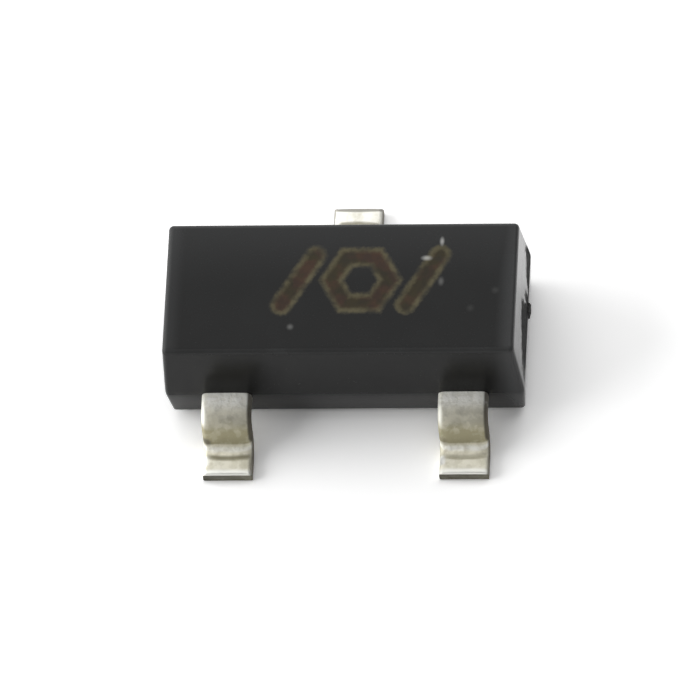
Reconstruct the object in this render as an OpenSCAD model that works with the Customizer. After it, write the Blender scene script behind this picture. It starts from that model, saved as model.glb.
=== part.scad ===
// Three-lead surface-mount bipolar transistor.
// A drafted moulded body grips three formed gull-wing leads. Inside it the chip
// sits on the collector's pad, and two bond wires run to the front leads.
// Millimetres, +Z up. The board is the plane z = 0, and the origin lies on it
// under the middle of the body. The base and emitter leads point to -Y.

/* [Body] */
// Length of the body at the parting line
body_len = 2.89; // [2.80:0.01:3.04]
// Width of the body at the parting line
body_w = 1.27; // [1.22:0.01:1.38]
// Gap between the board and the underside of the body
standoff = 0.05; // [0.02:0.01:0.10]
// Depth of the body below the parting line
lower_h = 0.37; // [0.35:0.01:0.44]
// Height of the body above the parting line
upper_h = 0.60; // [0.52:0.01:0.66]
// Draft of the two ends above the parting line, in degrees
end_draft_upper = 3.7; // [2:0.1:8]
// Draft of the two long sides above the parting line, in degrees
side_draft_upper = 5.4; // [2:0.1:9]
// Draft of the two ends below the parting line, in degrees
end_draft_lower = 4.8; // [3:0.1:10]
// Draft of the two long sides below the parting line, in degrees
side_draft_lower = 6.5; // [3:0.1:12]
// Radius of the edges round the top face
top_edge_r = 0.04; // [0.02:0.005:0.08]
// Radius of the edges round the underside
bottom_edge_r = 0.03; // [0.02:0.005:0.06]
// Depth of the flat that breaks each upright corner, along the corner's diagonal
corner_break = 0.025; // [0.01:0.005:0.05]

/* [Gate stub] */
// Width of the broken-off mould gate on the body's right end
gate_w = 0.10; // [0.08:0.01:0.20]
// Height of the gate, from the parting line down
gate_h = 0.10; // [0.06:0.01:0.14]
// How far the stub's highest point stands out of the body
gate_proud = 0.02; // [0.01:0.005:0.04]
// Distance of the gate's middle behind the middle of the body
gate_y = 0.12; // [-0.2:0.01:0.2]

/* [Leads] */
// Distance between the tips of the front and rear feet
lead_span = 2.41; // [2.36:0.01:2.64]
// Distance between the centre lines of the two front leads
lead_pitch = 1.90; // [1.84:0.01:1.96]
// Width of each lead
lead_w = 0.40; // [0.34:0.01:0.46]
// Thickness of the strip that all three leads are stamped from
lead_t = 0.11; // [0.09:0.01:0.13]
// Straight stretch between the body and the shoulder bend
shoulder_len = 0.10; // [0.06:0.01:0.14]
// Inside radius of the shoulder bend
shoulder_r = 0.10; // [0.06:0.01:0.12]
// Inside radius of the heel bend
heel_r = 0.07; // [0.04:0.01:0.09]
// Slope of the leg between the two bends, in degrees from the board
leg_angle = 75; // [68:1:84]

/* [Lead frame inside the body] */
// Width of the die pad on the collector lead
pad_w = 0.92; // [0.84:0.01:0.98]
// Length of the die pad from front to rear
pad_l = 0.72; // [0.62:0.01:0.78]
// Length of the collector lead's neck, from the body's wall to the die pad
pad_neck_l = 0.21; // [0.18:0.01:0.26]
// Gap between the die pad and the bonding post beside it
frame_gap = 0.16; // [0.12:0.01:0.20]
// Length of each bonding post from front to rear
post_l = 0.50; // [0.44:0.01:0.56]
// Length of a front lead's neck, from the body's wall to its bonding post
post_neck_l = 0.22; // [0.18:0.01:0.26]
// How far a bonding post stands out past its lead, towards the body's end
post_lip = 0.06; // [0.03:0.01:0.10]
// Length of the cut corners on the pad and the posts
frame_corner = 0.06; // [0.02:0.01:0.10]
// Radius of the half-round notches that lock each neck into the body
notch_r = 0.05; // [0.03:0.005:0.07]
// Diameter of the hole that locks each bonding post into the body
lock_hole_d = 0.14; // [0.10:0.01:0.18]
// Distance from a post's front edge to the middle of its locking hole
lock_hole_inset = 0.15; // [0.12:0.01:0.20]

/* [Chip] */
// Length of each side of the square die
die_side = 0.38; // [0.30:0.01:0.46]
// Thickness of the die
die_t = 0.15; // [0.10:0.01:0.20]
// Thickness of the die attach under the die
attach_t = 0.015; // [0.010:0.005:0.030]
// How far the die attach spreads past each side of the die
attach_spread = 0.03; // [0.01:0.005:0.05]
// Diameter of the round metal pads on the die
bond_pad_d = 0.11; // [0.10:0.01:0.13]
// Thickness of the metal pads on the die
bond_pad_t = 0.006; // [0.004:0.001:0.010]
// Distance between the centres of the base pad and the emitter pad
bond_pad_pitch = 0.18; // [0.15:0.01:0.20]
// Distance of the metal pads in front of the die's middle
bond_pad_y = 0.06; // [0:0.01:0.08]

/* [Bond wires] */
// Diameter of each bond wire
wire_d = 0.03; // [0.02:0.005:0.04]
// Diameter of the ball that starts each wire on the die
ball_d = 0.08; // [0.06:0.01:0.10]
// Height of the ball after it is pressed flat
ball_h = 0.024; // [0.016:0.002:0.034]
// Straight rise of the wire above its ball
wire_rise = 0.05; // [0.02:0.01:0.10]
// Radius of the bend at the top of the wire
loop_r = 0.07; // [0.04:0.01:0.10]
// Diameter of the pressed stitch that ends each wire on its post
stitch_d = 0.09; // [0.08:0.01:0.12]
// Thickness of the pressed stitch
stitch_t = 0.012; // [0.008:0.002:0.020]
// Distance from a post's inner edge to the middle of the stitch
stitch_inset = 0.12; // [0.08:0.01:0.16]
// Distance from a post's rear edge to the middle of the stitch
stitch_rear = 0.12; // [0.08:0.01:0.16]

/* [Hidden] */
$fn = 48;

resin = [0.13, 0.13, 0.13];
tin = [0.76, 0.75, 0.70];
silicon = [0.42, 0.44, 0.48];
silver_paste = [0.62, 0.61, 0.58];
gold = [0.86, 0.68, 0.30];

// A cutter reaches this far past the body, so that no face is left behind
overcut = 1;

// Heights. The lead frame is clamped under the parting line, so its top face
// and the parting line share one height.
parting_z = standoff + lower_h;
top_z = parting_z + upper_h;
frame_z = parting_z - lead_t;
die_z = parting_z + attach_t;
pad_top_z = die_z + die_t + bond_pad_t;

// Half sizes of the body at the underside, the parting line and the top
half_len = body_len / 2;
half_w = body_w / 2;
bottom_half_len = half_len - lower_h * tan(end_draft_lower);
bottom_half_w = half_w - lower_h * tan(side_draft_lower);
top_half_len = half_len - upper_h * tan(end_draft_upper);
top_half_w = half_w - upper_h * tan(side_draft_upper);

// How far the broken face of the gate stub stands out, at even steps across it
gate_break = [0.55, 1, 0.7, 0.9, 0.6];

// Side view of a lead: where its bends begin and end
lead_x = lead_pitch / 2;
bend_y = half_w + shoulder_len;
centre_radii = shoulder_r + heel_r + lead_t;
leg_len = (frame_z - centre_radii * (1 - cos(leg_angle))) / sin(leg_angle);
heel_y = bend_y + centre_radii * sin(leg_angle) + leg_len * cos(leg_angle);
foot_len = lead_span / 2 - heel_y;

// The wing runs into its neck by half the space between the notches and the wall
wing_root = (min(post_neck_l, pad_neck_l) / 2 - notch_r) / 2;

// Plan of the lead frame inside the body
pad_rear_y = half_w - pad_neck_l;
pad_front_y = pad_rear_y - pad_l;
post_front_y = -half_w + post_neck_l;
post_rear_y = post_front_y + post_l;
post_in_x = pad_w / 2 + frame_gap;
post_out_x = lead_x + lead_w / 2 + post_lip;
die_y = (pad_front_y + pad_rear_y) / 2;

// Where the wires start and end, on the emitter's side
wire_from = [bond_pad_pitch / 2, die_y - bond_pad_y];
wire_to = [post_in_x + stitch_inset, post_rear_y - stitch_rear];

// Side view of a wire: up from the ball, round the loop, then one straight
// line that leaves the loop as a tangent and lands on top of the stitch
wire_reach = norm(wire_to - wire_from);
stitch_top_z = parting_z + stitch_t;
loop_z = pad_top_z + ball_h + wire_rise;
loop_to_end = [wire_reach - loop_r, loop_z - stitch_top_z];
wire_fall = atan2(loop_to_end[1], loop_to_end[0]) + asin(loop_r / norm(loop_to_end));
fall_len = sqrt(pow(norm(loop_to_end), 2) - pow(loop_r, 2));

function unit(v) = v / norm(v);
function heading(angle) = [cos(angle), sin(angle)];

// A convex outline whose corners are rounded with true arcs: each corner is cut
// back to the points where its arc touches the two sides, and a disc fills it
module rounded_outline(corners, radii) {
    count = len(corners);
    turns = [for (i = [0:count - 1])
        let (corner = corners[i],
             before = unit(corners[(i + count - 1) % count] - corner),
             after = unit(corners[(i + 1) % count] - corner),
             half_angle = acos(before * after) / 2)
        [corner + before * radii[i] / tan(half_angle),
         corner + after * radii[i] / tan(half_angle),
         corner + unit(before + after) * radii[i] / sin(half_angle)]];
    polygon([for (i = [0:count - 1])
        each (radii[i] > 0 ? [turns[i][0], turns[i][1]] : [corners[i]])]);
    for (i = [0:count - 1])
        if (radii[i] > 0)
            translate(turns[i][2]) circle(r = radii[i]);
}

// Upright section of the body, six-sided, drafted both ways from the parting line
module body_section(bottom_half, parting_half, top_half) {
    rounded_outline(
        [[-bottom_half, standoff], [bottom_half, standoff], [parting_half, parting_z],
         [top_half, top_z], [-top_half, top_z], [-parting_half, parting_z]],
        [bottom_edge_r, bottom_edge_r, 0, top_edge_r, top_edge_r, 0]);
}

// Section across one diagonal of the body, which leaves the corner flats
module diagonal_section() {
    sizes = [[bottom_half_len + bottom_half_w, standoff],
             [half_len + half_w, parting_z],
             [top_half_len + top_half_w, top_z]];
    reach = [for (s = sizes) [s[0] / sqrt(2) - corner_break, s[1]]];
    polygon([reach[0], reach[1], reach[2],
             [-reach[2][0], top_z], [-reach[1][0], parting_z], [-reach[0][0], standoff]]);
}

// The body's outside: where the lengthwise, crosswise and diagonal sections meet
module body_form() {
    length = 2 * (body_len + body_w);
    intersection() {
        rotate([90, 0, 0])
            linear_extrude(height = length, center = true)
                body_section(bottom_half_len, half_len, top_half_len);
        rotate([90, 0, 90])
            linear_extrude(height = length, center = true)
                body_section(bottom_half_w, half_w, top_half_w);
        intersection_for(turn = [-45, 45])
            rotate([90, 0, turn])
                linear_extrude(height = length, center = true)
                    diagonal_section();
    }
}

// What is left of the gate where the runner was broken off
module gate_stub() {
    steps = len(gate_break) - 1;
    root = half_len - gate_h * tan(end_draft_lower) - gate_proud;
    translate([0, gate_y - gate_w / 2, parting_z - gate_h])
        linear_extrude(height = gate_h)
            polygon([[root, 0],
                     for (i = [0:steps]) [half_len + gate_proud * gate_break[i], gate_w * i / steps],
                     [root, gate_w]]);
}

// A piece of a ring between two angles
module ring_sector(inner_r, outer_r, from_angle, to_angle) {
    reach = 2 * outer_r;
    intersection() {
        difference() {
            circle(r = outer_r);
            circle(r = inner_r);
        }
        polygon([[0, 0], reach * heading(from_angle),
                 reach * heading((from_angle + to_angle) / 2), reach * heading(to_angle)]);
    }
}

// Side view of a lead from its root in the body to the tip of its foot, each
// length and bend placed from the end of the one before it
module gull_wing_profile() {
    translate([half_w - wing_root, frame_z]) square([wing_root + shoulder_len, lead_t]);
    translate([bend_y, frame_z - shoulder_r]) {
        ring_sector(shoulder_r, shoulder_r + lead_t, 90 - leg_angle, 90);
        rotate(-leg_angle) {
            translate([0, shoulder_r]) square([leg_len, lead_t]);
            translate([leg_len, centre_radii]) {
                ring_sector(heel_r, heel_r + lead_t, 270, 270 + leg_angle);
                rotate(leg_angle)
                    translate([0, -heel_r - lead_t]) square([foot_len, lead_t]);
            }
        }
    }
}

// The formed strip outside the body, pointing to +Y
module gull_wing() {
    rotate([90, 0, 90])
        linear_extrude(height = lead_w, center = true)
            gull_wing_profile();
}

// Flat metal of the lead frame, as thick as the strip
module frame_plate() {
    translate([0, 0, frame_z])
        linear_extrude(height = lead_t)
            children();
}

// A pair of half-round notches in the two edges of a neck
module neck_notches(x, y) {
    for (side = [-1, 1])
        translate([x + side * lead_w / 2, y, frame_z - overcut / 2])
            cylinder(h = lead_t + overcut, r = notch_r);
}

// A front lead on the emitter's side: neck and bonding post in the body, and
// the gull wing outside it
module front_lead() {
    difference() {
        frame_plate()
            polygon([[lead_x - lead_w / 2, -half_w], [lead_x + lead_w / 2, -half_w],
                     [lead_x + lead_w / 2, post_front_y], [post_out_x, post_front_y],
                     [post_out_x, post_rear_y - frame_corner],
                     [post_out_x - frame_corner, post_rear_y],
                     [post_in_x + frame_corner, post_rear_y],
                     [post_in_x, post_rear_y - frame_corner],
                     [post_in_x, post_front_y], [lead_x - lead_w / 2, post_front_y]]);
        neck_notches(lead_x, -half_w + post_neck_l / 2);
        translate([lead_x, post_front_y + lock_hole_inset, frame_z - overcut / 2])
            cylinder(h = lead_t + overcut, d = lock_hole_d);
    }
    translate([lead_x, 0, 0])
        rotate([0, 0, 180]) gull_wing();
}

// The rear lead: the die pad and its neck in the body, and the gull wing outside
module rear_lead() {
    difference() {
        frame_plate()
            polygon([[-pad_w / 2, pad_front_y + frame_corner],
                     [-pad_w / 2 + frame_corner, pad_front_y],
                     [pad_w / 2 - frame_corner, pad_front_y],
                     [pad_w / 2, pad_front_y + frame_corner],
                     [pad_w / 2, pad_rear_y], [lead_w / 2, pad_rear_y],
                     [lead_w / 2, half_w], [-lead_w / 2, half_w],
                     [-lead_w / 2, pad_rear_y], [-pad_w / 2, pad_rear_y]]);
        neck_notches(0, half_w - pad_neck_l / 2);
    }
    gull_wing();
}

// The die, with its two round metal pads on top
module die_form() {
    translate([-die_side / 2, die_y - die_side / 2, die_z])
        cube([die_side, die_side, die_t]);
    for (side = [-1, 1])
        translate([side * wire_from[0], wire_from[1], die_z + die_t])
            cylinder(h = bond_pad_t, d = bond_pad_d);
}

// The layer of silver paste that holds the die, squeezed out past its sides
module attach_form() {
    half = die_side / 2 + attach_spread;
    translate([0, die_y, parting_z])
        linear_extrude(height = attach_t)
            rounded_outline([[-half, -half], [half, -half], [half, half], [-half, half]],
                            [for (i = [0:3]) attach_spread]);
}

// A bond wire on the emitter's side, from its ball on the die to its stitch
module wire_form() {
    turn = atan2(wire_to[1] - wire_from[1], wire_to[0] - wire_from[0]);
    translate([wire_from[0], wire_from[1], pad_top_z])
        rotate([0, 0, turn]) {
            intersection() {
                translate([0, 0, ball_h / 2]) sphere(d = ball_d);
                cylinder(h = ball_h, d = ball_d);
            }
            translate([0, 0, ball_h]) cylinder(h = wire_rise, d = wire_d);
            translate([loop_r, 0, loop_z - pad_top_z])
                rotate([90, 0, 0]) rotate([0, 0, 90 - wire_fall])
                    rotate_extrude(angle = 90 + wire_fall)
                        translate([loop_r, 0]) circle(d = wire_d);
        }
    difference() {
        translate([wire_from[0], wire_from[1], loop_z])
            rotate([0, 0, turn])
                translate([loop_r * (1 + sin(wire_fall)), 0, loop_r * cos(wire_fall)])
                    rotate([0, 90 + wire_fall, 0])
                        cylinder(h = fall_len + wire_d, d = wire_d);
        translate([wire_to[0] - overcut / 2, wire_to[1] - overcut / 2, stitch_top_z - overcut])
            cube([overcut, overcut, overcut]);
    }
    translate([wire_to[0], wire_to[1], parting_z]) cylinder(h = stitch_t, d = stitch_d);
}

module moulded_body() {
    color(resin)
        difference() {
            union() {
                body_form();
                gate_stub();
            }
            base_lead();
            emitter_lead();
            collector_lead();
            silicon_die();
            die_attach();
            base_bond_wire();
            emitter_bond_wire();
        }
}

module base_lead() {
    color(tin) mirror([1, 0, 0]) front_lead();
}

module emitter_lead() {
    color(tin) front_lead();
}

module collector_lead() {
    color(tin) rear_lead();
}

module silicon_die() {
    color(silicon) die_form();
}

module die_attach() {
    color(silver_paste) attach_form();
}

module base_bond_wire() {
    color(gold) mirror([1, 0, 0]) wire_form();
}

module emitter_bond_wire() {
    color(gold) wire_form();
}

moulded_body();
base_lead();
emitter_lead();
collector_lead();
silicon_die();
die_attach();
base_bond_wire();
emitter_bond_wire();
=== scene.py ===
"""Looks and studio for a three-lead surface-mount bipolar transistor.

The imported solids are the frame. The moulded body and the three formed leads are
shown by finer surfaces of the same size and place, the sealed pieces keep their
solids, and every piece gets a finish. Lengths here are in millimetres, and
METRE turns them into Blender's metres where a mesh, light or camera is made.

In the finishes each zone is a share from 0 to 1. A rise says between which two
lengths it fades, and a factor how strong it is.
"""

import logging
import math
from dataclasses import dataclass, field
from enum import Enum
from typing import Any, Callable, Optional, Union

import bpy
import numpy as np
from mathutils import Matrix, Vector


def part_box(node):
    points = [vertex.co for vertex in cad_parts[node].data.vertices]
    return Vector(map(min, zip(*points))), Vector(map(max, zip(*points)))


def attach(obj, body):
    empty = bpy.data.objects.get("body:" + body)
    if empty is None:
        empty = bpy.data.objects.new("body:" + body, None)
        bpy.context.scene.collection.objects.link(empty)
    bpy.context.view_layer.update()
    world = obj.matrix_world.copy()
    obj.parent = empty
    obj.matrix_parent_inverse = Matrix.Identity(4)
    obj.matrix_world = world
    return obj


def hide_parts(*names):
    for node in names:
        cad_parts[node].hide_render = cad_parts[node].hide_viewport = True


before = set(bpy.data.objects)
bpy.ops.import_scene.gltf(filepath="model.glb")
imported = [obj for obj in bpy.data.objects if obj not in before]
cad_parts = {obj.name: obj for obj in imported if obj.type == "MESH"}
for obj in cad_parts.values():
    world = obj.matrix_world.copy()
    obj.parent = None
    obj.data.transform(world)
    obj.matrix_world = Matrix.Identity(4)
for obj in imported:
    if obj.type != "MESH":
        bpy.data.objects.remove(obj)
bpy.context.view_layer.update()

METRE = 0.001
FLAT = 0.999  # A unit normal's part along an axis on the flats across that axis
Colour = tuple[float, float, float]
Point = tuple[float, float]  # Also two sizes that belong together, such as below and above
Value = Union["Signal", float]
Paint = Union[Colour, bpy.types.NodeSocket]

logging.basicConfig(level=logging.INFO, format="%(levelname)s %(name)s: %(message)s")
log = logging.getLogger("transistor")


# Shader maths


def operator(operation: str, swapped: bool = False) -> Callable[..., "Signal"]:
    """Makes a method of Signal that adds one Math node.

    Args:
        operation: what the node works out.
        swapped: whether the signal is the last operand and not the first.

    Returns:
        The method, which takes the other operand if there is one.
    """
    def method(self: "Signal", *others: Value) -> "Signal":
        """Adds the node for this signal."""
        operands = (*others, self) if swapped else (self, *others)
        return self.bench.add("ShaderNodeMath", {"operation": operation},
                              dict(enumerate(operands)))
    return method


class Signal:
    """A number that varies over a surface: one node output with Python's operators."""

    __add__ = __radd__ = operator("ADD")
    __mul__ = __rmul__ = operator("MULTIPLY")
    __sub__, __rsub__ = operator("SUBTRACT"), operator("SUBTRACT", swapped=True)
    __truediv__ = operator("DIVIDE")
    size, root = operator("ABSOLUTE"), operator("SQRT")
    at_least, at_most = operator("MAXIMUM"), operator("MINIMUM")

    def __init__(self, bench: "Bench", socket: bpy.types.NodeSocket) -> None:
        """Wraps an output socket of a node on the given bench."""
        self.bench = bench
        self.socket = socket

    def __neg__(self) -> "Signal":
        """Negative."""
        return self * -1.0

    def rise(self, low: float, high: float) -> "Signal":
        """0 below low, 1 above high and a smooth rise between them, also where low > high."""
        return self.bench.add(
            "ShaderNodeMapRange", {"interpolation_type": "SMOOTHSTEP"},
            {"Value": self, "From Min": low, "From Max": high, "To Min": 0.0, "To Max": 1.0})


Field = Union[Signal, np.ndarray]


def size_of(value: Field) -> Field:
    """Absolute value of a signal or of an array."""
    return value.size() if isinstance(value, Signal) else np.abs(value)


def larger(a: Field, b: Union[Field, float]) -> Field:
    """The larger of two values, signals or arrays."""
    return a.at_least(b) if isinstance(a, Signal) else np.maximum(a, b)


def smaller(a: Field, b: Union[Field, float]) -> Field:
    """The smaller of two values, signals or arrays."""
    return a.at_most(b) if isinstance(a, Signal) else np.minimum(a, b)


def length_of(x: Field, y: Field) -> Field:
    """Length of the vector x, y."""
    square = x * x + y * y
    return square.root() if isinstance(square, Signal) else np.sqrt(square)


class Bench:
    """The node tree of one material or of the sky, filled node by node."""

    # Sockets of a Mix node for colours, which shares its names with those for numbers
    MIX_A, MIX_B, MIX_RESULT = 6, 7, 2

    def __init__(self, owner: Union[bpy.types.Material, bpy.types.World]) -> None:
        """Empties the node tree of a material or of a world."""
        owner.use_nodes = True
        self.owner = owner
        self.tree = owner.node_tree
        self.tree.nodes.clear()

    @classmethod
    def for_material(cls, name: str) -> "Bench":
        """Makes a material of that name and its bench."""
        return cls(bpy.data.materials.new(name))

    def make(self, kind: str, settings: Optional[dict[str, Any]] = None,
             inputs: Optional[dict[Union[str, int], Any]] = None) -> bpy.types.Node:
        """Adds a node.

        Args:
            kind: the node's type.
            settings: attributes that are set before its sockets are filled.
            inputs: by socket name or number, a value, a signal or an output socket.

        Returns:
            The node.
        """
        node = self.tree.nodes.new(kind)
        for key, value in (settings or {}).items():
            setattr(node, key, value)
        for key, value in (inputs or {}).items():
            socket = node.inputs[key]
            source = value.socket if isinstance(value, Signal) else value
            if isinstance(source, bpy.types.NodeSocket):
                self.tree.links.new(source, socket)
            else:
                socket.default_value = (*source, 1.0) if socket.type == "RGBA" else source
        return node

    def add(self, kind: str, settings: Optional[dict[str, Any]] = None,
            inputs: Optional[dict[Union[str, int], Any]] = None) -> Signal:
        """Adds a node and returns its first output as a signal."""
        return Signal(self, self.make(kind, settings, inputs).outputs[0])

    def place(self) -> bpy.types.NodeSocket:
        """The point on the object, in metres."""
        return self.make("ShaderNodeTexCoord").outputs["Object"]

    def axes(self) -> tuple[Signal, Signal, Signal]:
        """The point on the object, in millimetres, as three signals."""
        parts = self.make("ShaderNodeSeparateXYZ", inputs={"Vector": self.place()})
        x, y, z = (Signal(self, out) * (1 / METRE) for out in parts.outputs)
        return x, y, z

    def noise(self, grain: float, detail: float = 3.0, roughness: float = 0.5,
              stretch: tuple[float, float, float] = (1.0, 1.0, 1.0)) -> Signal:
        """Noise from 0 to 1 whose patches are about grain millimetres across.

        Args:
            grain: width of a patch in millimetres.
            detail: octaves of finer noise.
            roughness: how strong the finer octaves are.
            stretch: factors on the three axes, below 1 to draw the patches out.

        Returns:
            The noise.
        """
        place = self.make("ShaderNodeMapping", inputs={"Vector": self.place(), "Scale": stretch})
        return self.add("ShaderNodeTexNoise", inputs={
            "Vector": place.outputs[0], "Scale": 1 / (grain * METRE), "Detail": detail,
            "Roughness": roughness})

    def layers(self, ground: Paint, *over: tuple[Value, Paint]) -> Paint:
        """Lays colours over a ground one by one, each by its share from 0 to 1."""
        for share, paint in over:
            node = self.make("ShaderNodeMix", {"data_type": "RGBA"},
                             {"Factor": share, self.MIX_A: ground, self.MIX_B: paint})
            ground = node.outputs[self.MIX_RESULT]
        return ground

    def bumps(self, *heights: tuple[Signal, float]) -> bpy.types.NodeSocket:
        """Tilts the surface by heights, each with the depth in mm that a height of 1 has."""
        under = {}
        for height, depth in heights:
            node = self.make("ShaderNodeBump", inputs={
                "Height": height, "Distance": depth * METRE, "Strength": 1.0, **under})
            under = {"Normal": node.outputs[0]}
        return under["Normal"]

    def surface(self, shader: bpy.types.Node) -> None:
        """Links a shader to the tree's output."""
        kind = "World" if isinstance(self.owner, bpy.types.World) else "Material"
        self.make("ShaderNodeOutput" + kind, inputs={"Surface": shader.outputs[0]})

    def finish(self, **sockets: Any) -> bpy.types.Material:
        """Adds the surface shader and links it to the output.

        Args:
            sockets: the shader's sockets by name, with an underscore for each space.

        Returns:
            The finished material.
        """
        inputs = {key.replace("_", " "): value for key, value in sockets.items()}
        self.surface(self.make("ShaderNodeBsdfPrincipled", inputs=inputs))
        return self.owner


# Laser mark


@dataclass(frozen=True)
class Bar:
    """A straight stroke of the mark with round ends."""

    start: Point
    end: Point
    width: float

    def edge_distance(self, x: Field, y: Field) -> Field:
        """Distance to the stroke's edge, negative inside it.

        The point is dropped onto the stroke's middle line, held between its two ends,
        and half the width is taken from the distance to where it lands.
        """
        run = (self.end[0] - self.start[0], self.end[1] - self.start[1])
        from_x, from_y = x - self.start[0], y - self.start[1]
        along = (from_x * run[0] + from_y * run[1]) * (1 / (run[0] ** 2 + run[1] ** 2))
        along = smaller(larger(along, 0.0), 1.0)
        return length_of(from_x - along * run[0], from_y - along * run[1]) - self.width / 2


@dataclass(frozen=True)
class HexagonRing:
    """A six-sided ring of the mark with two sides level."""

    centre: Point
    apothem: float
    width: float

    def edge_distance(self, x: Field, y: Field) -> Field:
        """Distance to the ring's edge, negative inside the stroke.

        A hexagon's own radius at a point is the largest of its distances along the
        normals of the three pairs of sides. The ring is where that is near the apothem.
        """
        dx, dy = size_of(x - self.centre[0]), size_of(y - self.centre[1])
        radius = larger(dx * math.cos(math.pi / 6) + dy * math.sin(math.pi / 6), dy)
        return size_of(radius - self.apothem) - self.width / 2


@dataclass(frozen=True)
class LaserMark:
    """A plain geometric mark: a hexagon between two slanted bars."""

    middle: Point = (0.16, 0.06)
    pitch: float = 0.50
    height: float = 0.58
    lean: float = 0.13
    stroke: float = 0.135
    ring_share: float = 0.92
    rim: float = 0.024
    depth: float = 0.004

    def strokes(self) -> list[Union[Bar, HexagonRing]]:
        """The strokes, from left to right."""
        x, y = self.middle
        half = (self.height - self.stroke) / 2
        bars = [Bar((centre - self.lean, y - half), (centre + self.lean, y + half), self.stroke)
                for centre in (x - self.pitch, x + self.pitch)]
        return [bars[0], HexagonRing(self.middle, half * self.ring_share, self.stroke), bars[1]]

    def edge_distance(self, x: Field, y: Field) -> Field:
        """Distance to the nearest stroke's edge, negative inside a stroke."""
        nearest, *others = (stroke.edge_distance(x, y) for stroke in self.strokes())
        for other in others:
            nearest = smaller(nearest, other)
        return nearest

    def relief(self, x: np.ndarray, y: np.ndarray) -> np.ndarray:
        """Height of the etched skin: a trough inside each stroke.

        The trough falls smoothly over one rim width, and is half as deep at its edge.
        """
        distance = self.edge_distance(x, y) / self.rim
        trough = 0.5 - 0.5 * np.tanh(2 * distance)
        return -self.depth * trough * (1 - 0.5 * np.exp(-distance ** 2))


@dataclass(frozen=True)
class Chip:
    """One broken patch over the parting line: its two ends and its height at each."""

    start: float
    end: float
    start_height: float
    end_height: float


@dataclass(frozen=True)
class GateScar:
    """The rough patches on one end face, over the parting line, where the runner broke off."""

    base: float = 0.42
    chips: tuple[Chip, ...] = (Chip(-0.56, -0.10, 0.10, 0.26), Chip(-0.30, 0.13, 0.23, 0.31),
                               Chip(0.09, 0.22, 0.19, 0.08), Chip(0.26, 0.53, 0.11, 0.17),
                               Chip(0.43, 0.67, 0.28, 0.11))
    taper: float = 3.0
    depth: float = 0.006
    sway: float = 0.02
    upper_fall: float = 0.015
    lower_fall: float = 0.006

    def top(self, y: Field) -> Field:
        """Height of the patches' upper edge.

        Each patch's height runs evenly from one end to the other and is cut down by a
        steep slope at both ends. The highest patch counts, and between them it is zero.
        """
        height = y * 0.0
        for chip in self.chips:
            share = (y - chip.start) * (1 / (chip.end - chip.start))
            level = share * (chip.end_height - chip.start_height) + chip.start_height
            slope = smaller(y - chip.start, (y - chip.end) * -1.0) * self.taper
            height = larger(height, smaller(level, slope))
        return height + self.base

    def relief(self, y: np.ndarray, z: np.ndarray) -> np.ndarray:
        """How deep the end face is broken away: a crumbled step that fades at both edges."""
        top = self.top(y) + self.sway * ripple(y, z, 0.08, seed=21)
        under_top = 0.5 - 0.5 * np.tanh((z - top) / self.upper_fall)
        over_base = 0.5 + 0.5 * np.tanh((z - self.base) / self.lower_fall - 2)
        crumbs = 0.55 + 0.45 * ripple(y, z, 0.07, seed=22) * ripple(y, z, 0.045, seed=23)
        return self.depth * under_top * over_base * crumbs


# Finishes


@dataclass(frozen=True)
class Fleck:
    """A pale fleck on the top face: its place, its half width and half length, its strength."""

    x: float
    y: float
    across: float
    along: float
    strength: float

    def share(self, x: Signal, y: Signal) -> Signal:
        """How far the grain covers a point."""
        off = length_of((x - self.x) / self.across, (y - self.y) / self.along)
        return off.rise(1.0, 0.0) * self.strength


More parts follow.
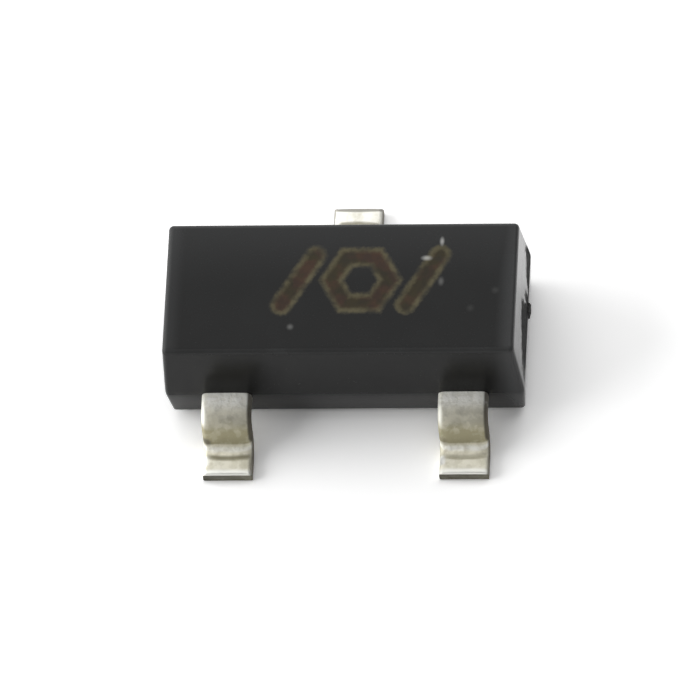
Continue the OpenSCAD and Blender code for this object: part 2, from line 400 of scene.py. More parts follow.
@dataclass(frozen=True)
class MouldedResin:
    """Near-black filled epoxy with a fine satin skin.

    The lengths place its zones: the heights of the top and of the parting line, half
    the size of the flat top inside its edges, the front wall's upper edge, the corner
    where it meets the end face at +X, and half the length with the two end slopes.
    """

    mark: LaserMark
    scar: GateScar
    flecks: tuple[Fleck, ...]
    top: float = 1.02
    parting: float = 0.42
    flat_half: Point = (1.366, 0.538)
    front_wall: float = -0.54
    front_corner: float = -0.62
    end_half: float = 1.445
    end_slope: Point = (0.084, 0.065)
    colour: Colour = (0.0138, 0.0140, 0.0139)
    worn_colour: Colour = (0.018, 0.0185, 0.0185)
    paled_colour: Colour = (0.055, 0.056, 0.057)
    # Paler colour for the painted highlight along the rounded top edges
    edge_highlight_colour: Colour = (0.060, 0.061, 0.061)
    rim_colour: Colour = (0.100, 0.088, 0.052)
    etched_colour: Colour = (0.042, 0.034, 0.018)
    burnt_colour: Colour = (0.060, 0.034, 0.022)
    broken_colour: Colour = (0.014, 0.014, 0.0135)
    fleck_colour: Colour = (0.62, 0.62, 0.60)
    roughness: float = 0.24
    index: float = 1.21
    end_gloss: float = 0.5
    low_gloss: float = 0.16
    gloss_roughness: float = 0.22

    def past_end(self, x: Signal, z: Signal) -> Signal:
        """Distance out of the end face at +X, which slopes in both ways from the parting line."""
        rise = z - self.parting
        drawn_in = (rise * -self.end_slope[0]).at_least(rise * self.end_slope[1])
        return x + drawn_in - self.end_half

    def paled(self, x: Signal, y: Signal, depth: Signal, end: Signal) -> Signal:
        """Share of pale grey on the top: a trace all over, more to the rear and at both ends."""
        rear = y.rise(-0.05, 0.75) * 0.41
        left, right = x.rise(-1.25, -1.385) * 0.4, x.rise(1.22, 1.40) * 0.75
        return ((rear + 0.05 + left) * depth.rise(0.05, 0.02)).at_least(right * (1 - end))

    def painted_edge_highlight(self, x: Signal, y: Signal, depth: Signal) -> Signal:
        """Share of painted highlight on the rounded edges of the top, narrower along the front
        one.
        """
        past_flat = (x.size() - self.flat_half[0]).at_least(y - self.flat_half[1])
        painted_edge_highlight = past_flat.rise(-0.004, 0.012) * depth.rise(0.038, 0.022)
        front = (-y - self.flat_half[1]).rise(0.004, 0.020) * depth.rise(0.042, 0.026)
        return painted_edge_highlight.at_least(front * 1.15)

    def broken(self, bench: Bench, y: Signal, z: Signal, past_end: Signal) -> Signal:
        """Share of broken skin: the patches on the end face, fainter to the front corner."""
        ragged = (bench.noise(0.06, detail=3.0, roughness=0.6) - 0.5) * 0.16
        swayed = (bench.noise(0.07, detail=2.0) - 0.5) * 0.16
        over = z - self.scar.top(y + swayed) - ragged
        band = over.rise(0.075, -0.035) * z.rise(self.scar.base - 0.04, self.scar.base)
        return band * past_end.rise(-0.032, -0.018) * y.rise(-0.64, -0.34)

    def material(self, name: str) -> bpy.types.Material:
        """Builds the finish.

        Over the mottled skin come the pale zones, a painted highlight on the rounded top
        edges, the mark with a burnt inside and a tan rim, the matt broken patches and the
        pale flecks. The front wall is smoother, and the lower half and the end face are
        glossy.
        """
        bench = Bench.for_material(name)
        x, y, z = bench.axes()
        depth = self.top - z
        past_end = self.past_end(x, z)
        end = past_end.rise(-0.016, -0.005)
        cloud = bench.noise(0.35, detail=4.0).rise(0.35, 0.75)
        speck = bench.noise(0.018, detail=2.0).rise(0.62, 0.78)
        ragged = (bench.noise(0.03, detail=2.0) - 0.5) * 1.2
        distance = self.mark.edge_distance(x, y) / self.mark.rim + ragged
        patchy = bench.noise(0.09, detail=3.0).rise(0.32, 0.66)
        burnt = bench.noise(0.16, detail=3.0).rise(0.42, 0.6)
        face = depth.rise(0.03, 0.015)
        rim, inside = distance.size().rise(1.7, 0.0) * face, distance.rise(0.9, -0.9) * face
        broken = self.broken(bench, y, z, past_end)
        crumbs = bench.noise(0.035, detail=4.0, roughness=0.7)
        colour = bench.layers(
            self.colour, (cloud * 0.35, self.worn_colour), (speck * 0.25, self.worn_colour),
            (self.paled(x, y, depth, end), self.paled_colour),
            # Painted highlight on the rounded edges of the top
            (self.painted_edge_highlight(x, y, depth) * (0.45 + cloud * 0.2), self.edge_highlight_colour),
            (inside * (0.55 + patchy * 0.35),
             bench.layers(self.etched_colour, (burnt, self.burnt_colour))),
            (rim * (0.30 + patchy * 0.65), self.rim_colour),
            (broken * (1 - crumbs.rise(0.5, 0.72) * 0.5), self.broken_colour),
            *((fleck.share(x, y) * depth.rise(0.03, 0.01), self.fleck_colour)
              for fleck in self.flecks))

        front = (y - self.front_wall).rise(0.0, -0.03) * depth.rise(0.045, 0.080)
        roughness = self.roughness + cloud * 0.06 + speck * 0.10 - front * 0.08
        roughness = roughness + inside * 0.22 + rim * 0.15 + broken * 0.5 - end * 0.12
        low = (z - self.parting).rise(-0.03, -0.28)
        corner = (y - self.front_corner).rise(0.0, 0.2) * 0.85 + 0.15
        streak = bench.noise(0.09, detail=3.0, stretch=(1.0, 0.4, 1.6)) * 0.8 + 0.65
        gloss = (low * self.low_gloss).at_least(end * corner * streak * self.end_gloss)
        normal = bench.bumps((bench.noise(0.014, detail=2.0), 0.0006),
                             (bench.noise(0.16, detail=2.0), 0.0012), (crumbs * broken, 0.02))
        return bench.finish(Base_Color=colour, Roughness=roughness, Normal=normal,
                            IOR=self.index, Coat_Weight=gloss * (1 - broken),
                            Coat_Roughness=self.gloss_roughness)


@dataclass(frozen=True)
class TinPlate:
    """Matte tin plating on a copper alloy strip, bare and darkened by painted shade at the cut
    tip, and bare in the body.

    It holds one lead's middle, how strong its painted highlights, painted shade and
    dark spot are, and how far out the body's wall, the crease behind the heel and the
    tip lie.
    """

    middle: float
    # Strengths of the painted highlights on the lip and the heel
    lip_highlight: float = 1.0
    heel_highlight: float = 0.8
    # Strength of a dark spot low on the leg by its left edge
    dark_spot: float = 0.3
    # Strength of the painted shade in the crease
    crease_shade_strength: float = 0.85
    # Strength of the painted shade on the tip's outline
    tip_shade: float = 0.0
    half_width: float = 0.20
    wall: float = 0.635
    crease: float = 1.058
    tip: float = 1.205
    colour: Colour = (0.84, 0.815, 0.70)
    # Olive grey for random dull patches and streaks, and painted shade low on the leg
    dull_and_shade_colour: Colour = (0.45, 0.42, 0.29)
    # Grey for random clouds, and painted shade high on the bend
    clouded_and_shade_colour: Colour = (0.46, 0.445, 0.38)
    # Near-white colour for the painted highlights
    highlight_colour: Colour = (0.96, 0.955, 0.90)
    # Dark colour for painted shade on the right edge and the tip outline, and for the dark spot
    shade_and_spot_colour: Colour = (0.10, 0.088, 0.066)
    # Bare alloy at the cut tip, darkened further by painted shade
    cut_colour: Colour = (0.10, 0.09, 0.055)
    # Colour of the painted shade in the crease
    crease_shade_colour: Colour = (0.26, 0.24, 0.16)
    strip_colour: Colour = (0.62, 0.36, 0.22)
    roughness: float = 0.66

    def material(self, name: str) -> bpy.types.Material:
        """Builds the finish.

        Along the strip come the mouth at the body, the level plateau and its bend, the
        leg, the heel, the crease, the foot and its lip, and across it side runs from
        -1 to 1. The tin is clouded, with painted shade on the bend and leg, and painted
        highlights on the mouth, plateau, heel, lip and one edge, with a bright painted
        flare beside the crease. The other edge and the tip's outline carry painted shade,
        a dark spot lies low on the leg, and the crease has painted shade. The cut tip,
        partly darkened by painted shade, and the strip inside the body have their own
        colours.
        The plateau scatters light like paint, and the rest mirrors it as metal.
        """
        bench = Bench.for_material(name)
        x, y, z = bench.axes()
        out = y.size()
        side = (x - self.middle) / self.half_width
        past_wall, past_crease, past_tip = (out - at for at in (self.wall, self.crease, self.tip))
        cloud = bench.noise(0.10, detail=4.0, roughness=0.6)
        grain = bench.noise(0.014, detail=3.0, roughness=0.6)
        streak = bench.noise(0.05, detail=2.0, stretch=(1.0, 0.25, 0.25))
        patch = bench.noise(0.07, detail=2.0)
        spots = bench.noise(0.042, detail=2.0).rise(0.40, 0.58)

        over_heel = z.rise(0.155, 0.18)
        bend, leg = past_wall.rise(0.06, 0.13) * over_heel, over_heel * z.rise(0.34, 0.27)
        plateau = past_wall.rise(0.19, 0.06)
        heel = z.rise(0.108, 0.120) * z.rise(0.158, 0.128)
        # Painted shade on the bend and leg, where the strip turns away from the light, plus random
        # dull clouds and patches
        dull_and_shade = bend * 0.55 + leg * 0.30 + cloud.rise(0.45, 0.68) * (0.20 + leg * 0.3)
        dull_and_shade = (dull_and_shade + patch.rise(0.56, 0.40) * 0.22).at_most(1.0)
        shade = bench.layers(self.dull_and_shade_colour, (z.rise(0.30, 0.40), self.clouded_and_shade_colour))

        # Painted highlights: on the mouth, the lit left edge, the heel, the lip, beside the crease
        # and on the plateau
        mouth = past_wall.rise(0.052, 0.022)
        edge = side.rise(-0.70, -0.90) * z.rise(0.30, 0.37)
        glint = (patch.rise(0.30, 0.60) * 0.5 + 0.5) * heel * self.heel_highlight
        lip = past_tip.rise(-0.060, -0.024) * self.lip_highlight
        left = side.rise(-0.66, -0.84)
        flare = left * past_crease.rise(-0.03, 0.0) * past_crease.rise(0.08, 0.05)
        painted_highlight = mouth.at_least(edge) * (0.6 + cloud * 0.4)
        for highlight in (glint, lip, flare, plateau * (0.7 + spots * 0.3)):
            painted_highlight = painted_highlight.at_least(highlight)

        # Painted shade along the right edge, which faces away from the lamps, and on the tip's
        # outline
        rim = side - 0.90 + z.rise(0.15, 0.22) * 0.08
        rounded_tip = past_tip + (1 - side * side) * 0.012
        outline = side.rise(-0.84, -0.97).at_least(rounded_tip.rise(-0.034, -0.018))
        shade_and_spot = rim.rise(0.0, 0.10).at_least(outline * self.tip_shade)
        # A dark spot low on the leg by the left edge
        spotted = length_of((side + 0.84) * self.half_width, z - 0.185).rise(0.055, 0.015)
        shade_and_spot = (shade_and_spot * (1 - cloud.rise(0.55, 0.75) * 0.3)).at_least(spotted * self.dark_spot)

        # Painted shade in the crease behind the heel, which also dents the surface as a groove
        groove_and_shade = (past_crease + side * side * 0.024).size().rise(0.032, 0.002)
        groove_and_shade = groove_and_shade * z.rise(0.09, 0.105) * z.rise(0.165, 0.14)
        groove_and_shade = groove_and_shade * (0.55 + cloud * 0.9).at_most(1.0) * side.rise(-0.95, -0.55)
        # The cut tip face: bare alloy, partly darkened by painted shade
        cut = past_tip.rise(-0.006, -0.002) * z.rise(0.094, 0.080)
        # Layers: painted shade and random dull tin, random streaks, painted highlights, painted
        # shade on one edge and the tip outline with a dark spot, painted shade in the crease, the
        # cut tip, and the copper strip in the body
        colour = bench.layers(
            self.colour, (dull_and_shade, shade), (streak.rise(0.55, 0.75) * 0.18, self.dull_and_shade_colour),
            (painted_highlight, self.highlight_colour), (shade_and_spot * 0.9, self.shade_and_spot_colour),
            (groove_and_shade * self.crease_shade_strength, self.crease_shade_colour),
            (cut * (0.75 + cloud * 0.3), self.cut_colour),
            (past_wall.rise(0.0, -0.01), self.strip_colour))

        foot = past_crease.rise(-0.01, 0.03)
        roughness = self.roughness + grain * 0.10 + cut * 0.2 - foot * 0.16 - flare * 0.2
        painted = plateau * (1 - left) * 0.9
        metallic = (1.0 - cut * 0.45 - shade_and_spot * 0.3 - painted).at_least(0.0)
        normal = bench.bumps((grain, 0.0012), (spots * (plateau * 0.4 + heel * 0.6), 0.004),
                             (cloud, 0.003), (1 - groove_and_shade, 0.006))
        return bench.finish(Base_Color=colour, Roughness=roughness, Metallic=metallic,
                            Normal=normal)


@dataclass(frozen=True)
class GrainyFinish:
    """Two colours blended by noise, for the gate's broken face and the sealed pieces.

    The second colour comes in over the ramp of the noise, which also adds rough to the
    roughness and tilts the surface by relief millimetres.
    """

    colour: Colour
    second_colour: Colour
    grain: float
    roughness: float
    metallic: float
    relief: float
    rough: float = 0.12
    ramp: Point = (0.4, 0.65)
    detail: float = 3.0
    coarseness: float = 0.5

    def material(self, name: str) -> bpy.types.Material:
        """Builds the finish."""
        bench = Bench.for_material(name)
        pattern = bench.noise(self.grain, self.detail, self.coarseness)
        colour = bench.layers(self.colour, (pattern.rise(*self.ramp), self.second_colour))
        return bench.finish(Base_Color=colour, Roughness=self.roughness + pattern * self.rough,
                            Metallic=self.metallic, Normal=bench.bumps((pattern, self.relief)))


GATE_BREAK = GrainyFinish((0.012, 0.012, 0.012), (0.05, 0.05, 0.048), grain=0.03, roughness=0.45,
                          metallic=0.0, relief=0.012, rough=0.4, ramp=(0.5, 0.8), detail=4.0,
                          coarseness=0.7)
SILICON = GrainyFinish((0.12, 0.13, 0.16), (0.20, 0.21, 0.25), 0.04, 0.18, 0.6, 0.002)
SILVER_PASTE = GrainyFinish((0.45, 0.44, 0.41), (0.60, 0.59, 0.56), 0.01, 0.5, 0.4, 0.0005)
GOLD = GrainyFinish((0.80, 0.56, 0.20), (0.86, 0.64, 0.28), 0.02, 0.22, 1.0, 0.001)


# Meshes


def mesh_piece(name: str, points: np.ndarray, faces: list[np.ndarray],
               material: bpy.types.Material, smooth: bool = True) -> bpy.types.Object:
    """Makes an object at the origin from points in millimetres.

    Args:
        name: the piece's name.
        points: one row of x, y and z for each vertex.
        faces: arrays of vertex numbers, one row for each face.
        material: its finish.
        smooth: whether the faces are shaded smooth.

    Returns:
        The object, linked to the scene.
    """
    mesh = bpy.data.meshes.new(name)
    mesh.from_pydata((points * METRE).tolist(), [],
                     [row for block in faces for row in block.tolist()])
    mesh.polygons.foreach_set("use_smooth", np.full(len(mesh.polygons), smooth))
    mesh.materials.append(material)
    mesh.update()
    piece = bpy.data.objects.new(name, mesh)
    bpy.context.scene.collection.objects.link(piece)
    return piece


def sheet_quads(numbers: np.ndarray, flip: bool = False) -> np.ndarray:
    """Faces between the vertices of a grid, facing along first axis x second axis.

    Args:
        numbers: the grid's vertex numbers.
        flip: whether the faces look the other way.

    Returns:
        One row of four vertex numbers for each face.
    """
    quads = np.stack([numbers[:-1, :-1], numbers[1:, :-1], numbers[1:, 1:], numbers[:-1, 1:]],
                     axis=-1).reshape(-1, 4)
    return quads[:, ::-1] if flip else quads


def lattice_quads(numbers: np.ndarray) -> list[np.ndarray]:
    """Outward faces of a block from its lattice of vertex numbers, one array for each side."""
    return [sheet_quads(numbers[0], True), sheet_quads(numbers[-1]),
            sheet_quads(numbers[:, 0]), sheet_quads(numbers[:, -1], True),
            sheet_quads(numbers[:, :, 0], True), sheet_quads(numbers[:, :, -1])]


def ripple(u: np.ndarray, v: np.ndarray, wave: float, seed: int) -> np.ndarray:
    """Smooth unevenness mostly between -1 and 1: twice the mean of five plane waves.

    Args:
        u: first coordinate in millimetres.
        v: second coordinate in millimetres.
        wave: mean wavelength in millimetres.
        seed: picks the directions, lengths and phases of the waves.

    Returns:
        The height at each point.
    """
    draw, waves = np.random.default_rng(seed), 5
    total = np.zeros(np.broadcast(u, v).shape)
    for _ in range(waves):
        angle, phase = draw.uniform(0, 2 * math.pi, 2)
        pulse = 2 * math.pi / (wave * draw.uniform(0.6, 1.6))
        total = total + np.sin(pulse * (u * math.cos(angle) + v * math.sin(angle)) + phase)
    return 2 * total / waves


# Moulded body


@dataclass
class MouldedBody:
    """The drafted epoxy body: a rounded block that narrows up and down from its parting line.

    Drafts are in degrees. They and the edge radii are given below and above that line,
    and the flash lines are in widths of the flash.
    """

    resin: MouldedResin
    end_draft: Point = (4.8, 3.7)
    side_draft: Point = (6.5, 5.4)
    edge_radius: Point = (0.03, 0.04)
    flash_height: float = 0.0006
    flash_width: float = 0.004
    parting_round: float = 0.035
    parting_drop: float = 0.030
    flash_lines: tuple[float, ...] = (0.35, 0.7, 1.2, 2.0, 3.0)
    cells: tuple[int, int] = (216, 88)
    rows: tuple[int, int] = (20, 34)
    edge_steps: int = 4
    gate_width: float = 0.10
    gate_height: float = 0.10
    gate_y: float = 0.12
    gate_cells: int = 12
    gate_rag: Point = (0.62, 0.38)
    gate_rag_wave: float = 0.05
    gate_rim_drop: float = 0.3
    low: np.ndarray = field(init=False)
    high: np.ndarray = field(init=False)
    parting: float = field(init=False)
    widest: float = field(init=False)

    def __post_init__(self) -> None:
        """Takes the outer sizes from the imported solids."""
        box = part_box("moulded_body")
        self.low, self.high = (np.array(corner) / METRE for corner in box)
        self.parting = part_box("base_lead")[1].z / METRE
        self.widest = self.parting - self.parting_drop

    def half_size(self, z: np.ndarray, at_parting: float, draft: Point) -> np.ndarray:
        """Half length or width at a height.

        It shrinks by tan(draft) for each mm from the widest line, which lies a little
        under the parting line. There a hyperbola joins the two slopes.
        """
        below, above = (math.tan(math.radians(angle)) for angle in draft)
        mean, lean = (below + above) / 2, (below - above) / 2
        drop = self.widest - z
        joined = lean * drop + mean * np.hypot(drop, self.parting_round)
        return at_parting - joined + above * self.parting_drop

    def with_edges(self, flat: np.ndarray) -> tuple[np.ndarray, np.ndarray]:
        """Adds the lines of the rounded edges to a row of grid lines.

        Args:
            flat: the lines between the two edges.

        Returns:
            The lines with the first and last repeated, and how far each line has turned
            round its edge as a tangent, from -1 to 1.
        """
        turn = np.tan(np.radians(45) * np.arange(1, self.edge_steps + 1) / self.edge_steps)
        tangent = np.concatenate([-turn[::-1], np.zeros(len(flat)), turn])
        return np.pad(flat, self.edge_steps, mode="edge"), tangent

    def up_lines(self) -> tuple[np.ndarray, np.ndarray, np.ndarray]:
        """Grid lines up the block, close together at the flash.

        Returns:
            Their heights, their tangents round the edges and the edge radii there.
        """
        below, above = self.edge_radius
        steps = np.array(self.flash_lines)
        near = self.widest + self.flash_width * np.concatenate([-steps[::-1], [0.0], steps])
        flat = np.concatenate([
            np.linspace(self.low[2] + below, near[0], self.rows[0])[:-1], near,
            np.linspace(near[-1], self.high[2] - above, self.rows[1])[1:]])
        height, tangent = self.with_edges(flat)
        share = (height - self.low[2]) / (self.high[2] - self.low[2])
        radius = np.where(tangent < 0, below, np.where(tangent > 0, above,
                                                       below + (above - below) * share))
        return height, tangent, radius

    def surface(self) -> tuple[np.ndarray, list[np.ndarray]]:
        """The block's skin as the six welded faces of a lattice.

        A point is an inner point plus an edge radius along a unit vector. The vector is
        the lattice's tangents made one long, so flats stay flat and edges become arcs.
        The inner point is the line's share of the half size at that height. The parting
        line carries a thin ragged flash, a bell curve in height, the top the mark, and
        the end at +X the broken patches.

        Returns:
            The points, and the faces of the six sides.
        """
        (share_x, tangent_x), (share_y, tangent_y) = (
            self.with_edges(np.linspace(-1, 1, count + 1)) for count in self.cells)
        height, tangent_z, radius = self.up_lines()
        shape = (len(share_x), len(share_y), len(height))
        skin = np.zeros(shape, bool)
        for axis in range(3):
            ends = [slice(None)] * 3
            ends[axis] = [0, -1]
            skin[tuple(ends)] = True
        i, j, k = np.nonzero(skin)
        number = np.full(shape, -1)
        number[skin] = np.arange(len(i))

        turned = np.stack([tangent_x[i], tangent_y[j], tangent_z[k]], axis=1)
        turned /= np.linalg.norm(turned, axis=1, keepdims=True)
        z = height[k] + radius[k] * turned[:, 2]
        inset = radius[k] + self.flash_height
        half_x = self.half_size(z, -self.low[0], self.end_draft) - inset
        half_y = self.half_size(z, self.high[1], self.side_draft) - inset
        x = share_x[i] * half_x + radius[k] * turned[:, 0]
        y = share_y[j] * half_y + radius[k] * turned[:, 1]

        ragged = 0.6 + 0.4 * ripple(x, y, 0.25, seed=3)
        flash = self.flash_height * ragged * np.exp(-((z - self.widest) / self.flash_width) ** 2)
        x, y = x + flash * turned[:, 0], y + flash * turned[:, 1]
        x = x - np.where(turned[:, 0] > FLAT, self.resin.scar.relief(y, z), 0.0)
        z = z + np.where(turned[:, 2] > FLAT, self.resin.mark.relief(x, y), 0.0)
        return np.stack([x, y, z], axis=1), lattice_quads(number)

    def gate(self) -> tuple[np.ndarray, list[np.ndarray]]:
        """The broken-off gate: a small block with a ragged outer face.

        Its outer face stands at the CAD stub's reach times a ripple, lower at its rim,
        and its other faces run into the body.

        Returns:
            The points, and the faces of the six sides.
        """
        count = self.gate_cells
        reach = self.high[0] + self.low[0]
        lattice = np.arange(2 * (count + 1) ** 2).reshape(2, count + 1, count + 1)
        i, j, k = np.indices(lattice.shape)
        y = self.gate_y + self.gate_width * (j / count - 0.5)
        z = self.parting - self.gate_height * (1 - k / count)
        mean, swing = self.gate_rag
        rag = mean + swing * ripple(y, z, self.gate_rag_wave, seed=5)
        inner = -self.low[0] - 2 * reach
        outer = -self.low[0] + reach * np.clip(rag, 0.1, 1.0)
        rim = (j % count == 0) | (k % count == 0)
        x = np.where(i == 0, inner, outer - np.where(rim, self.gate_rim_drop * reach, 0.0))
        return np.stack([x, y, z], axis=-1).reshape(-1, 3), lattice_quads(lattice)

    def build(self) -> list[bpy.types.Object]:
        """Makes the body and its gate stub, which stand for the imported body."""
        body = mesh_piece("body_skin", *self.surface(), self.resin.material("satin_resin"))
        stub = mesh_piece("gate_break", *self.gate(), GATE_BREAK.material("broken_resin"),
                          smooth=False)
        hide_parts("moulded_body")
        for piece in (body, stub):
            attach(piece, "root")
        return [body, stub]


# Formed leads


class Terminal(Enum):
    """The three leads: node, sideways place as a share of the pitch, and outward direction."""

    BASE = ("base_lead", -0.5, -1)
    EMITTER = ("emitter_lead", 0.5, -1)
    COLLECTOR = ("collector_lead", 0.0, 1)

    def __init__(self, node: str, share: float, outward: int) -> None:
        """Takes the solid's name, the place as a share, and 1 for +Y or -1 for -Y."""
        self.node, self.share, self.outward = node, share, outward


@dataclass
class FormedLead:
    """One lead: a stamped strip with a wide plate inside the body and a gull wing outside.

    The plate reaches to the part's middle and away from it by different lengths. The
    counts say how finely each stretch of the strip and of its section is divided.
    """

    terminal: Terminal
    finish: TinPlate
    pitch: float = 1.90
    width: float = 0.40
    thickness: float = 0.11
    wall: float = 0.635
    shoulder_length: float = 0.10
    shoulder_radius: float = 0.10
    heel_radius: float = 0.07
    leg_angle: float = 75.0
    neck_length: float = 0.22
    plate_length: float = 0.50
    plate_reach: Point = (0.33, 0.26)
    plate_corner: float = 0.06
    notch_radius: float = 0.05
    rolled_edge: float = 0.045
    tip_edge: float = 0.020
    sharp_edge: float = 0.012
    ripple_height: float = 0.0010
    ripple_wave: float = 0.13
    ripple_fade: float = 0.03
    crown: float = 0.005
    shoulder_rings: int = 6
    bend_rings: int = 19
    leg_rings: int = 7
    foot_rings: int = 12
    tip_rings: int = 7
    notch_rings: int = 13
    corner_points: int = 10
    flat_points: int = 25

    def __post_init__(self) -> None:
        """Takes the strip's height and the tip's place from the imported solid."""
        low, high = (np.array(corner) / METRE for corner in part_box(self.terminal.node))
        self.top = float(high[2])
        self.tip = float(max(-low[1], high[1]))
        self.middle_x = self.terminal.share * self.pitch

    def wing_rings(self) -> list[tuple[float, float, float]]:
        """Side view of the strip's middle from the body's wall to just before the tip.

        Two arcs of the same angle, one turning down and one turning level again, are
        joined by the straight leg. The leg's length is what makes the foot lie on z = 0.

        Returns:
            Outward distance and height of each ring, and the strip's slope there.
        """
        angle = math.radians(self.leg_angle)
        half = self.thickness / 2
        level = self.top - half
        bend, heel = self.shoulder_radius + half, self.heel_radius + half
        leg = (self.top - self.thickness - (bend + heel) * (1 - math.cos(angle))) / math.sin(angle)
        bend_out = self.wall + self.shoulder_length
        rings = [(out, level, 0.0)
                 for out in np.linspace(self.wall, bend_out, self.shoulder_rings)[:-1]]
        rings += [(bend_out + bend * math.sin(turn), level - bend * (1 - math.cos(turn)), turn)
                  for turn in np.linspace(0, angle, self.bend_rings)]
        out, height, _ = rings[-1]
        rings += [(out + run * math.cos(angle), height - run * math.sin(angle), angle)
                  for run in np.linspace(0, leg, self.leg_rings)[1:]]
        out, height, _ = rings[-1]
        out, height = out + heel * math.sin(angle), height + heel * math.cos(angle)
        rings += [(out - heel * math.sin(turn), height - heel * math.cos(turn), turn)
                  for turn in np.linspace(angle, 0, self.bend_rings)[1:]]
        foot = np.linspace(rings[-1][0], self.tip - self.tip_edge, self.foot_rings)[1:]
        return rings + [(out, half, 0.0) for out in foot]

    def plate_rings(self) -> list[tuple[float, float, float]]:
        """Plan of the plate and neck inside the body, from the inner end to the wall.

        Returns:
            Outward distance of each ring, and its reach to the left and to the right.
        """
        start = self.wall - self.neck_length - self.plate_length
        end = start + self.plate_length
        inner, outer = self.plate_reach
        cut, half = self.plate_corner, self.width / 2
        rings = [(start, inner - cut, outer - cut), (start + cut, inner, outer),
                 ((start + end) / 2, inner, outer), (end, inner, outer), (end, half, half)]
        for swing in np.radians(np.linspace(-90, 90, self.notch_rings)):
            reach = half - self.notch_radius * math.cos(swing)
            rings.append((end + self.neck_length / 2 + self.notch_radius * math.sin(swing),
                          reach, reach))
        return rings

    def section(self) -> np.ndarray:
        """Cross-section of the strip, walked anticlockwise from the lower right corner.

        The two upper corners are rolled over by the stamping and the two lower ones are
        nearly sharp. Each corner is a quarter circle.

        Returns:
            Four rows, with for each point its side (-1 left, 1 right), its sideways share
            of the flat between the corners, the corner's own sideways part, and its
            height from the strip's middle.
        """
        half = self.thickness / 2
        quarter = np.linspace(0, 90, self.corner_points)
        points = []
        for right, up, radius, start in (
                (1, -1, self.sharp_edge, -90), (1, 1, self.rolled_edge, 0),
                (-1, 1, self.rolled_edge, 90), (-1, -1, self.sharp_edge, 180)):
            for swing in np.radians(quarter + start):
                points.append((right, 1.0, radius * (math.cos(swing) - right),
                               up * (half - radius) + radius * math.sin(swing)))
            if right == up:
                for flat in np.linspace(right, -right, self.flat_points)[1:-1]:
                    near = right if flat * right > 0 else -right
                    points.append((near, abs(flat), -near * radius * abs(flat), up * half))
        return np.array(points).T

    def surface(self) -> tuple[np.ndarray, list[np.ndarray]]:
        """The strip's skin: its section carried along the plan and the side view.

        A point's sideways place is its side's reach times its share, plus the corner's
        part. Its outward place and height are the middle line's, plus the section's
        height along the line's normal. At the tip the section is clamped down round a
        quarter circle, which rolls the upper edge. Outside the body a ripple dents the
        flats and fades towards the corners, and the crown lowers the upper flat towards
        them by the sixth power of the share. The base lead is the mirror image.

        Returns:
            The points, and the faces along the strip and at its two ends.
        """
        side, share, part, height = self.section()
        half, width = self.thickness / 2, self.width / 2
        rings = [(out, self.top - half, 0.0, left, right, half)
                 for out, left, right in self.plate_rings()]
        rings += [(*ring, width, width, half) for ring in self.wing_rings()[1:]]
        rings += [(self.tip - self.tip_edge * (1 - math.sin(roll)), half, 0.0, width, width,
                   half - self.tip_edge * (1 - math.cos(roll)))
                  for roll in np.radians(np.linspace(0, 90, self.tip_rings)[1:])]
        out, rise, slope, left, right, cap = np.array(rings).T[:, :, None]

        flip = -1 if self.terminal is Terminal.BASE else 1
        x = side * share * np.where(side < 0, left, right) + part
        n = np.minimum(height, cap)
        along = np.cumsum(np.hypot(np.diff(out, axis=0, prepend=out[:1]),
                                   np.diff(rise, axis=0, prepend=rise[:1])))[:, None]
        outside = np.clip((out - self.wall) / self.ripple_fade, 0, 1)
        wave = ripple(x, along, self.ripple_wave, seed=11 + len(self.terminal.node))
        dent = self.ripple_height * (1 - share ** 2) ** 2 * wave * np.sign(height)
        n = n + outside * (dent - self.crown * np.where(height > 0, share ** 6, 0.0))
        y, z = out + n * np.sin(slope), rise + n * np.cos(slope)
        points = np.stack([self.middle_x + flip * x, self.terminal.outward * y,
                           np.maximum(z, 0.0)], axis=-1)
        numbers = np.arange(x.size).reshape(x.shape)
        hoop = np.concatenate([numbers, numbers[:, :1]], axis=1)
        turned = flip * self.terminal.outward > 0
        ends = [numbers[:1, ::-1], numbers[-1:]]
        if turned:
            ends = [end[:, ::-1] for end in ends]
        return points.reshape(-1, 3), [sheet_quads(hoop, turned)] + ends

    def build(self) -> list[bpy.types.Object]:
        """Makes the lead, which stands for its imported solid."""
        name = self.terminal.node.replace("lead", "strip")
        strip = mesh_piece(name, *self.surface(), self.finish.material(name + "_tin"))
        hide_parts(self.terminal.node)
        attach(strip, "root")
        return [strip]


# Sealed pieces


def dress_sealed() -> list[bpy.types.Object]:
    """Gives the chip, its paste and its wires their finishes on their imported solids."""
    dressed = []
    for slot, finish, nodes in (
            ("silicon", SILICON, ["silicon_die"]),
            ("silver_paste", SILVER_PASTE, ["die_attach"]),
            ("gold", GOLD, ["base_bond_wire", "emitter_bond_wire"])):
        material = finish.material(slot + "_finish")
        for solid in (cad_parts[node] for node in nodes):
            solid.data.materials.clear()
            solid.data.materials.append(material)
            dressed.append(solid)
    return dressed


# Studio


def towards(azimuth: float, elevation: float) -> Vector:
    """Unit vector away from the part: azimuth 0 is in front of it and 90 on its right."""
    turn, rise = math.radians(azimuth), math.radians(elevation)
    return Vector((math.sin(turn) * math.cos(rise), -math.cos(turn) * math.cos(rise),
                   math.sin(rise)))


@dataclass(frozen=True)
class SoftLamp:
    """A round soft lamp that faces the part, by where it hangs and how wide it looks.

    The angles are in degrees.
    """

    name: str
    azimuth: float
    elevation: float
    half_angle: float
    radiance: float
    distance: float = 60.0

    def hang(self) -> None:
        """Makes the lamp. Its power is its radiance times pi times its area."""
        away = towards(self.azimuth, self.elevation)
        radius = self.distance * math.tan(math.radians(self.half_angle)) * METRE
        data = bpy.data.lights.new(self.name, "AREA")
        data.shape = "DISK"
        data.size = 2 * radius
        data.energy = self.radiance * math.pi * math.pi * radius ** 2
        lamp = bpy.data.objects.new(self.name, data)
        lamp.location = away * self.distance * METRE
        lamp.rotation_mode = "QUATERNION"
        lamp.rotation_quaternion = away.to_track_quat("Z", "Y")
        bpy.context.scene.collection.objects.link(lamp)


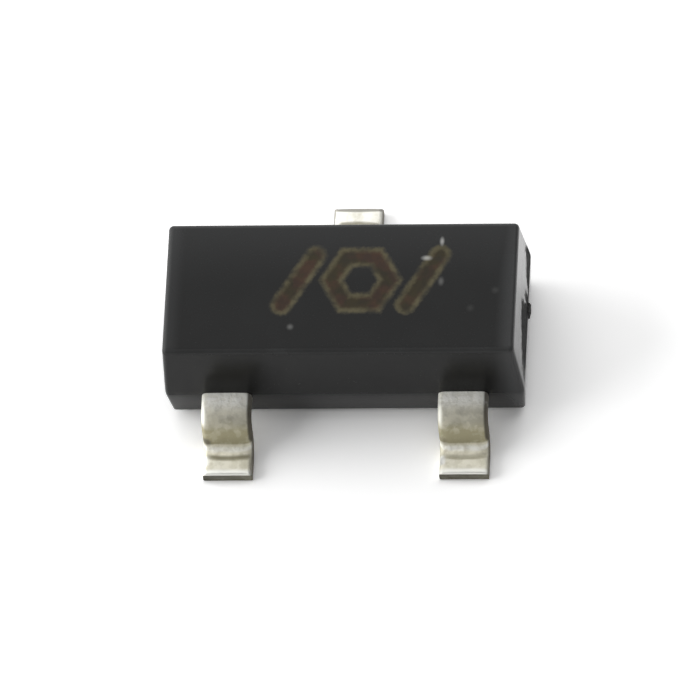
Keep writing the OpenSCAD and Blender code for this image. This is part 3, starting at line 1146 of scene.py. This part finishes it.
@dataclass(frozen=True)
class Studio:
    """White paper under a pale sky, with soft lamps on the left and behind."""

    floor_half: float = 400.0
    floor_level: float = -0.001
    white: Colour = (1.0, 1.0, 1.0)
    paper: Colour = (0.84, 0.84, 0.84)
    fibre: Colour = (0.82, 0.82, 0.82)
    seen_paper: Colour = (1.32, 1.32, 1.32)
    seen_glow: float = 0.025
    sky: float = 0.24
    lamps: tuple[SoftLamp, ...] = (
        SoftLamp("left_lamp", -88.0, 16.0, 33.0, 3.4),
        SoftLamp("rear_lamp", 178.0, 52.0, 42.0, 1.22),
    )

    def floor(self) -> None:
        """Lays the paper just under the feet.

        It is white paper to the light, and a third brighter than white to the camera and
        in reflections, because the photograph's ground is overexposed by about that.
        """
        bench = Bench.for_material("studio_paper")
        path = bench.make("ShaderNodeLightPath")
        camera, glossy, through = (Signal(bench, path.outputs[name]) for name in (
            "Is Camera Ray", "Is Glossy Ray", "Is Transmission Ray"))
        seen = (camera + glossy + through).at_most(1.0)
        tone = bench.layers(self.paper, (bench.noise(0.5, detail=4.0), self.fibre),
                            (seen, self.seen_paper))
        paper = bench.make("ShaderNodeBsdfDiffuse", inputs={"Color": tone})
        glow = bench.make("ShaderNodeEmission",
                          inputs={"Color": self.white, "Strength": seen * self.seen_glow})
        bench.surface(bench.make("ShaderNodeAddShader",
                                 inputs={0: paper.outputs[0], 1: glow.outputs[0]}))
        half, level = self.floor_half, self.floor_level
        corners = np.array([[-half, -half, level], [half, -half, level],
                            [half, half, level], [-half, half, level]])
        sheet = mesh_piece("studio_floor", corners, [np.arange(4)[None]], bench.owner, False)

    def sky_light(self) -> None:
        """Sets an even pale sky that the camera sees as white."""
        world = bpy.data.worlds.new("studio_sky")
        bpy.context.scene.world = world
        bench = Bench(world)
        path = bench.make("ShaderNodeLightPath")
        strength = bench.add("ShaderNodeMix", inputs={
            "Factor": path.outputs["Is Camera Ray"], "A": self.sky, "B": 1.0})
        bench.surface(bench.make("ShaderNodeBackground",
                                 inputs={"Color": self.white, "Strength": strength}))

    def build(self) -> None:
        """Lays the floor and hangs the lights."""
        self.floor()
        self.sky_light()
        for lamp in self.lamps:
            lamp.hang()


@dataclass(frozen=True)
class PhotoCamera:
    """The photograph's view: from above, in front and a little to the right."""

    azimuth: float = 13.344
    elevation: float = 61.541
    roll: float = 12.144
    distance: float = 116.011
    pixels_per_mm: float = 125.027
    frame_pixels: float = 700.0
    aim_height: float = 0.5
    aim_pixel: Point = (346.934, 317.437)
    sensor: float = 36.0

    def build(self) -> None:
        """Makes the camera and gives it to the scene.

        The aim point appears at aim_pixel, so the camera stands off to the side of the
        line through the picture's middle by the rest, in its own picture plane.
        """
        back = towards(self.azimuth, self.elevation)
        level_right = towards(self.azimuth + 90, 0.0)
        level_up = back.cross(level_right)
        lean = math.radians(-self.roll)
        right = level_right * math.cos(lean) + level_up * math.sin(lean)
        up = back.cross(right)
        middle = self.frame_pixels / 2
        aside = right * (middle - self.aim_pixel[0]) - up * (middle - self.aim_pixel[1])
        place = Vector((0, 0, self.aim_height)) + back * self.distance + aside / self.pixels_per_mm
        data = bpy.data.cameras.new("photo_camera")
        data.sensor_width = self.sensor
        data.lens = self.pixels_per_mm * self.distance * self.sensor / self.frame_pixels
        data.clip_start, data.clip_end = self.distance * METRE / 10, self.distance * METRE * 20
        camera = bpy.data.objects.new("photo_camera", data)
        axes = Matrix((right, up, back)).transposed()
        camera.matrix_world = Matrix.Translation(place * METRE) @ axes.to_4x4()
        bpy.context.scene.collection.objects.link(camera)
        bpy.context.scene.camera = camera


def report(pieces: list[bpy.types.Object]) -> None:
    """Logs each piece with its number of faces."""
    for piece in pieces:
        log.info("%s: %d faces", piece.name, len(piece.data.polygons))


def main() -> None:
    """Builds the camera, the studio and the part, one class at a time."""
    bpy.context.scene.view_settings.view_transform = "Standard"
    PhotoCamera().build()
    Studio().build()
    flecks = (Fleck(-0.387, -0.357, 0.038, 0.038, 0.16), Fleck(0.798, 0.405, 0.026, 0.056, 0.50),
            Fleck(0.681, 0.256, 0.060, 0.032, 0.52), Fleck(0.804, 0.045, 0.034, 0.056, 0.14),
            Fleck(1.241, -0.038, 0.044, 0.044, 0.035), Fleck(1.048, -0.197, 0.044, 0.044, 0.03))
    half_pitch = FormedLead.pitch / 2
    for maker in (
            MouldedBody(MouldedResin(LaserMark(), GateScar(), flecks)),
            FormedLead(Terminal.BASE, TinPlate(-half_pitch, dark_spot=0.75)),
            FormedLead(Terminal.EMITTER, TinPlate(
                half_pitch, crease_shade_strength=0.45, heel_highlight=1.0)),
            FormedLead(Terminal.COLLECTOR, TinPlate(
                0.0, lip_highlight=0.6, tip_shade=0.75, colour=(0.90, 0.89, 0.83)),
                neck_length=0.21, plate_length=0.72, plate_reach=(0.46, 0.46))):
        report(maker.build())
    report(dress_sealed())


if __name__ == "__main__":
    main()
